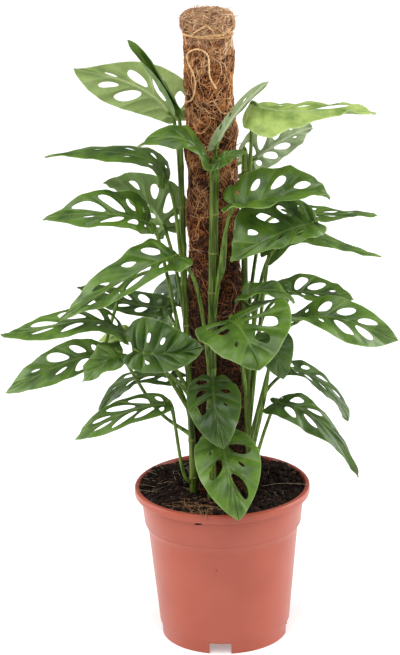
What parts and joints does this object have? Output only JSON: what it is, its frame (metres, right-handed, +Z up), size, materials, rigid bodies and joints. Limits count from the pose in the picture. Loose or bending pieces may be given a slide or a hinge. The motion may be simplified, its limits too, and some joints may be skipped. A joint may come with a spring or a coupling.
{
  "type": "potted monstera adansonii on a coir pole",
  "caption": "Swiss cheese plant with holed leaves climbing a coir-wrapped pole in a round plastic nursery pot with a rolled lip.",
  "frame": {"origin": "middle of the plant's footprint on the surface that the pot stands on; the pot's own axis is 13.4 mm towards +X and 2.5 mm towards -Y from it", "axes": "+Z up along the pole, -Y towards the front of the plant, +X to the right as seen from the front"},
  "size_m": [0.2653, 0.1916, 0.441],
  "materials": {
    "pot_plastic": "moulded polypropylene, salmon terracotta, matte",
    "peat": "damp peat with coir crumbs",
    "stake_wood": "plain turned softwood",
    "coir": "matted coconut fibre",
    "twine": "thin spun coir twine",
    "stem": "smooth green stem, satin",
    "leaf": "waxy leaf, satin",
    "young_leaf": "soft new leaf, satin"
  },
  "bodies": {
    "root": {"pot": "pot_plastic", "soil": "peat", "stake": "stake_wood", "coir_pole": "coir", "twine_ring": "twine", "twine_loop": "twine", "stem_front": "stem", "stem_left": "stem", "stem_right": "stem", "stem_back": "stem", "leaf_01": "young_leaf", "leaf_02": "leaf", "leaf_03": "leaf", "leaf_04": "leaf", "leaf_05": "young_leaf", "leaf_06": "leaf", "leaf_07": "young_leaf", "leaf_08": "leaf", "leaf_09": "young_leaf", "leaf_10": "leaf", "leaf_11": "leaf", "leaf_12": "leaf", "leaf_13": "leaf", "leaf_14": "leaf", "leaf_15": "leaf", "leaf_16": "leaf", "leaf_17": "leaf", "leaf_18": "leaf", "leaf_19": "leaf", "leaf_20": "leaf", "leaf_21": "leaf", "leaf_22": "leaf", "leaf_23": "leaf", "leaf_24": "leaf", "leaf_25": "leaf", "leaf_26": "leaf", "leaf_27": "leaf", "leaf_28": "leaf", "leaf_29": "leaf", "leaf_30": "leaf", "leaf_31": "leaf", "leaf_32": "leaf", "leaf_33": "young_leaf", "leaf_34": "leaf", "leaf_35": "leaf", "leaf_36": "leaf", "leaf_37": "leaf", "rolled_leaf": "young_leaf"}
  },
  "joints": []
}
